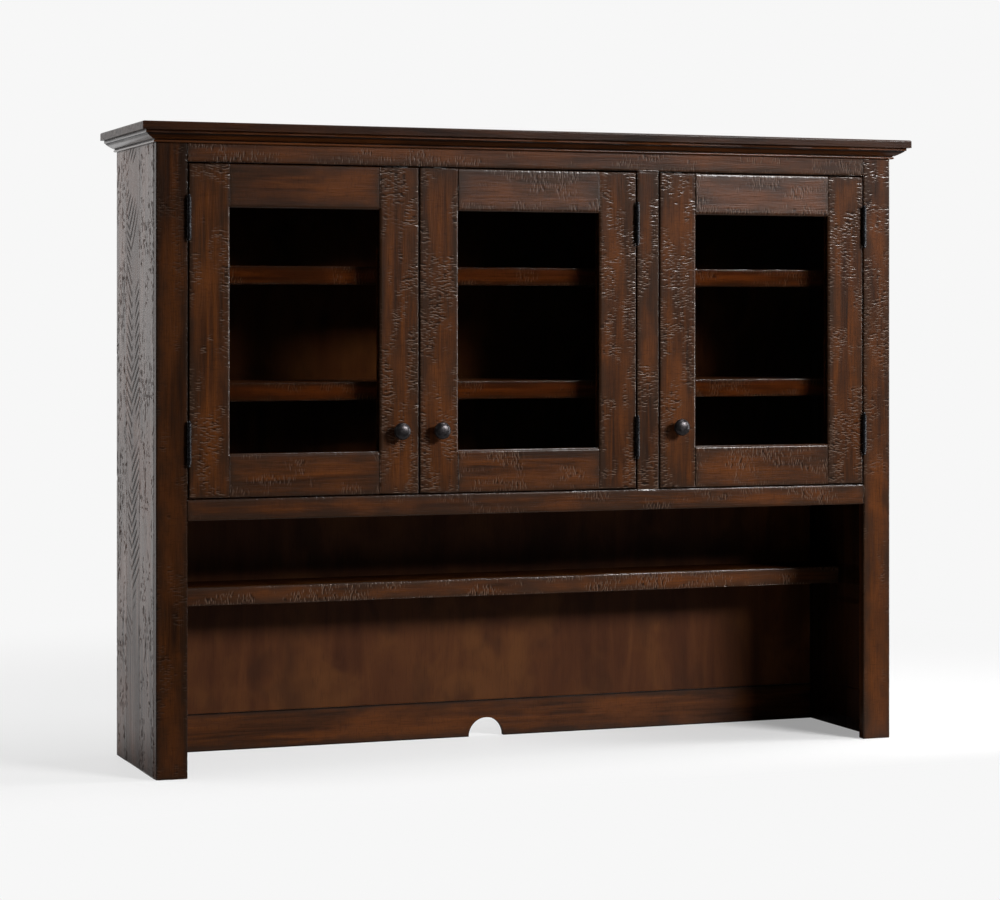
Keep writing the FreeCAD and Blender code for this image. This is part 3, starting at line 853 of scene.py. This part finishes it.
def turned(name, profile, at, axis, steps=24, levels=0):
    mesh = bmesh.new()
    along = Vector(axis)
    out = along.orthogonal().normalized()
    middle = Vector(at) * millimetre
    ring = [mesh.verts.new(middle + (out * radius + along * place) * millimetre)
            for radius, place in profile]
    edges = [mesh.edges.new(pair) for pair in zip(ring, ring[1:])]
    bmesh.ops.spin(mesh, geom=ring + edges, cent=middle, axis=along, dvec=(0, 0, 0),
                   angle=2 * math.pi, steps=steps, use_merge=True, use_duplicate=False)
    bmesh.ops.remove_doubles(mesh, verts=mesh.verts, dist=meshRules["spinWeld"])
    bmesh.ops.recalc_face_normals(mesh, faces=mesh.faces)
    data = bpy.data.meshes.new(name)
    mesh.to_mesh(data)
    mesh.free()
    piece = addObject(name, data)
    if levels:
        smoother = piece.modifiers.new("smooth", "SUBSURF")
        smoother.levels = smoother.render_levels = levels
    else:
        data.set_sharp_from_angle(angle=math.radians(meshRules["turnedSharp"]))
    return piece


def placeMetal(piece, material, node):
    piece.data.materials.append(material)
    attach(piece, bodyOf[node])


knobLook = {
    "across": {"door_left": -290, "door_middle": -209.5, "door_right": 290},
    "height": 638,
    "front": -149,
    "back": -129,
    "profile": [(0, -0.7), (8.5, -0.7), (8.5, 1.2), (7.2, 2.2), (6.0, 4.0), (5.6, 7.0), (6.6, 9.5),
                (10, 11.3), (14.2, 13.6), (16.5, 17.0), (16.8, 19.8), (15.8, 22.8), (13.0, 25.5),
                (8.5, 27.3), (4.0, 27.9), (0, 28)],
    "smooth": 2,
    "screw": [(0, -0.5), (4.6, -0.5), (4.6, 0.7), (3.8, 1.7), (2.1, 2.2), (1.9, 1.4), (0, 1.4)],
}


def makeKnobs(materials):
    look = knobLook
    for door, across in look["across"].items():
        knob = turned(f"{door}_turned_knob", look["profile"],
                      (across, look["front"], look["height"]), toFront, levels=look["smooth"])
        screw = turned(f"{door}_knob_screw", look["screw"],
                       (across, look["back"], look["height"]), (0, 1, 0))
        for piece in (knob, screw):
            placeMetal(piece, materials["bronze"], f"{door}_knob")
        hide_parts(f"{door}_knob")


hingeLook = {
    "doors": {"door_left": (-700.75, 1), "door_middle": (201.25, -1), "door_right": (700.75, -1)},
    "front": -153.6,
    "levels": (619.5, 1038.5),
    "pin": [(0, -43.5), (1.8, -43.2), (3.0, -42.3), (3.5, -40.9), (3.0, -39.4), (2.2, -38.4),
            (2.2, 38.4), (3.0, 39.4), (3.5, 40.9), (3.0, 42.3), (1.8, 43.2), (0, 43.5)],
    "pinSteps": 16,
    "screw": [(3.4, -0.2), (3.4, 0.06), (3.0, 0.16), (1.4, 0.16), (1.1, -0.2)],
    "screwSteps": 12,
    "screwPlaces": ((11.5, -26), (15.5, 0), (11.5, 26)),    # behind the pin, above its middle
    "leafFace": 0.3,            # from the middle of the hinge to the face of a leaf
}


def makeHinges(materials):
    look = hingeLook
    pins = [turned("hinge_pin", look["pin"], (across, look["front"], level), (0, 0, 1),
                   steps=look["pinSteps"])
            for across, side in look["doors"].values() for level in look["levels"]]
    pin = joinPieces(pins, "ball_tipped_pins")
    placeMetal(pin, materials["black"], "hinge_pins")
    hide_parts("hinge_pins")
    for door, (across, side) in look["doors"].items():
        for owner, towards in (("frame_hinge_leaves", side), (f"{door}_hinge_leaves", -side)):
            face = across - towards * look["leafFace"]
            screws = [turned("leaf_screw", look["screw"],
                             (face, look["front"] + place, level + above), (towards, 0, 0),
                             steps=look["screwSteps"])
                      for level in look["levels"] for place, above in look["screwPlaces"]]
            placeMetal(joinPieces(screws, f"{door}_{owner}_screws"), materials["screw"], owner)
    print("knobs, pins and screws")


frameWood = {
    "level": {"grain": "x", "amber": 0.7},
    "deep": {"grain": "y", "shift": (3, 1, 2), "amber": 0.7, "tone": 0.6, "shine": 3.2},
    "crown": {"grain": "x", "shift": (2, 1, 1), "amber": 0.6, "tone": 0.42, "shine": 0.95},
    # the moulding is the top board's wood painted lighter, standing in for light on faces that look
    # down
    "moulding": {"grain": "x", "shift": (1, 1, 2), "amber": 0.6, "tone": 1.15, "shine": 1.1,
                 "glint": 0.7},
}
frameVeneer = {
    "backVeneer": {"tone": 0.84},
    # the inside of the case: the same veneer as the back, painted darker as shade, and without
    # shine
    "shadedCabinetVeneer": {"tone": 0.45, "shift": (2, 3, 1), "specular": 0.0, "lacquer": 0.0},
}
nodeMaterial = {                # by the end of a node's name; the other nodes are level wood
    "_glass": "glass",
    "hinge_leaves": "black",
    "strike_plate": "steel",
    "catches": "steel",
    "upper_back_panel": "shadedCabinetVeneer",
    "lower_back_panel": "backVeneer",
    "cabinet_floor": "shadedCabinetVeneer",
    "ceiling_panel": "shadedCabinetVeneer",
    "partition": "shadedCabinetVeneer",
    "open_shelf": "shadedCabinetVeneer",
    "shelf_cleats": "deep",
    "top_board": "crown",
}


def dressFrame():
    materials = {"glass": clearGlass()}
    for name, look in metalLook.items():
        materials[name] = darkMetal(**look)
    for name, look in frameWood.items():
        materials[name] = stainedWood(f"wood.{name}", **look)
    for name, look in frameVeneer.items():
        materials[name] = veneeredBoard(name, **look)
    for name, item in nodes.items():
        chosen = (kind for ending, kind in nodeMaterial.items() if name.endswith(ending))
        item.data.materials.clear()
        item.data.materials.append(materials[next(chosen, "level")])
    print("materials on the frame")
    return materials


studioLook = {
    "background": 0.93,
    "ambient": 0.075,
    "floorColour": 0.87,            # as seen; the floor throws back less light than that
    "floorBounce": 0.3,
    "floorRoughness": 0.6,
    "floorSpecular": 0.2,
    "floorReach": 30.0,
    "floorSides": 96,
    "floorLevel": -0.0004,
    "darkCorner": (0.68, 0.1, 0),   # where the right side shades the floor of the bay
    # fades: from and to in metres (the sky's by how far a direction leans back), and the values
    "cornerShade": (0.15, 0.75, 0.67, 0.33),    # how much of the shading is seen
    "shadeReach": (0.9, 2.6, 1.0, 0.0),
    "shadeFront": (-0.5, -0.2, 0.0, 1.0),
    "mirrorReach": (0.7, 1.1),
    "mirrorFront": (-1.0, 0.4, 0.03, 0.75),     # the studio is dark in front
    "mirrorBack": (1.0, 4.0, 0.0, 0.35),
    "mirrorSky": (-0.1, 0.6, 0.02, 1.27),
    "white": (1, 1, 1, 1),
}


def makeFloor():
    look = studioLook
    mesh = bmesh.new()
    bmesh.ops.create_circle(mesh, cap_ends=True, segments=look["floorSides"],
                            radius=look["floorReach"])
    data = bpy.data.meshes.new("studioFloor")
    mesh.to_mesh(data)
    mesh.free()
    data.transform(Matrix.Translation((0, 0, look["floorLevel"])))
    floor = bpy.data.objects.new("studioFloor", data)
    scene.collection.objects.link(floor)
    material, tree, shader = newMaterial("paleFloor")
    seen = addNode(tree, "ShaderNodeLightPath").outputs
    camera = seen["Is Camera Ray"]
    setInputs(tree, shader, {
        "Base Color": choose(tree, camera, look["floorBounce"], look["floorColour"]),
        "Roughness": look["floorRoughness"],
        "Specular IOR Level": look["floorSpecular"],
    })
    place = addNode(tree, "ShaderNodeTexCoord").outputs["Object"]
    front = addNode(tree, "ShaderNodeSeparateXYZ", {0: place}).outputs["Y"]
    distance, corner = (
        addNode(tree, "ShaderNodeVectorMath", inputs, operation=operation).outputs["Value"]
        for inputs, operation in (({0: place}, "LENGTH"),
                                  ({0: place, 1: look["darkCorner"]}, "DISTANCE")))
    shaded = fade(tree, corner, *look["cornerShade"])
    shaded = calculate(tree, "MULTIPLY", shaded, fade(tree, distance, *look["shadeReach"]))
    shaded = calculate(tree, "MULTIPLY", shaded, fade(tree, front, *look["shadeFront"]))
    glossy = calculate(tree, "MAXIMUM", seen["Is Glossy Ray"], seen["Is Transmission Ray"])
    unshaded = calculate(tree, "SUBTRACT", 1.0, shaded)
    share = calculate(tree, "ADD", calculate(tree, "MULTIPLY", camera, unshaded),
                      calculate(tree, "MULTIPLY", glossy,
                                fade(tree, distance, *look["mirrorReach"])), clamp=True)
    behind = calculate(tree, "ADD", fade(tree, front, *look["mirrorFront"]),
                       fade(tree, front, *look["mirrorBack"]))
    bright = addNode(tree, "ShaderNodeEmission", {
        "Color": look["white"], "Strength": choose(tree, camera, behind, look["background"])})
    mixed = addNode(tree, "ShaderNodeMixShader",
                    {0: share, 1: shader.outputs[0], 2: bright.outputs[0]})
    output = [n for n in tree.nodes if n.type == "OUTPUT_MATERIAL"][0]
    tree.links.new(mixed.outputs[0], output.inputs[0])
    data.materials.append(material)


def makeWorld():
    look = studioLook
    world = bpy.data.worlds.new("studio")
    scene.world = world
    world.use_nodes = True
    tree = world.node_tree
    tree.nodes.clear()
    seen = addNode(tree, "ShaderNodeLightPath").outputs
    towards = addNode(tree, "ShaderNodeTexCoord").outputs["Generated"]
    parts = addNode(tree, "ShaderNodeSeparateXYZ", {0: towards}).outputs
    glossy = calculate(tree, "MAXIMUM", seen["Is Glossy Ray"], seen["Is Transmission Ray"])
    level = choose(tree, glossy, look["ambient"], fade(tree, parts["Y"], *look["mirrorSky"]))
    level = choose(tree, seen["Is Camera Ray"], level, look["background"])
    sky = addNode(tree, "ShaderNodeBackground", {"Color": look["white"], "Strength": level})
    output = addNode(tree, "ShaderNodeOutputWorld")
    tree.links.new(sky.outputs[0], output.inputs[0])


lamps = {
    "keySoftbox": {"place": (3.12, -4.68, 2.95), "aim": (0.35, 0, 0.6), "size": (2.0, 1.2),
                   "power": 65, "spread": 65},
    "rightStrip": {"place": (3.0, -0.7, 1.1), "aim": (0.6, 0, 0.8), "size": (0.45, 2.2),
                   "power": 45, "spread": 180},
    "leftWall": {"place": (-3.4, 0.9, 2.3), "aim": (-0.76, 0, 1.0), "size": (2.4, 2.0),
                 "power": 60, "spread": 180},
    "topSoftbox": {"place": (1.2, -0.2, 3.6), "aim": (0.9, 0, 0), "size": (1.3, 1.3),
                   "power": 75, "spread": 180},
}


def makeLamps():
    for name, look in lamps.items():
        data = bpy.data.lights.new(name, "AREA")
        data.shape = "RECTANGLE"
        data.size, data.size_y = look["size"]
        data.energy = look["power"]
        data.spread = math.radians(look["spread"])
        lamp = bpy.data.objects.new(name, data)
        lamp.location = look["place"]
        direction = Vector(look["aim"]) - Vector(look["place"])
        lamp.rotation_euler = direction.to_track_quat("-Z", "Y").to_euler()
        scene.collection.objects.link(lamp)


makeCamera()
materials = dressFrame()
makeKnobs(materials)
makeHinges(materials)
makeBoards()
makeCrown(materials)
makeFloor()
makeWorld()
makeLamps()
print("studio ready")
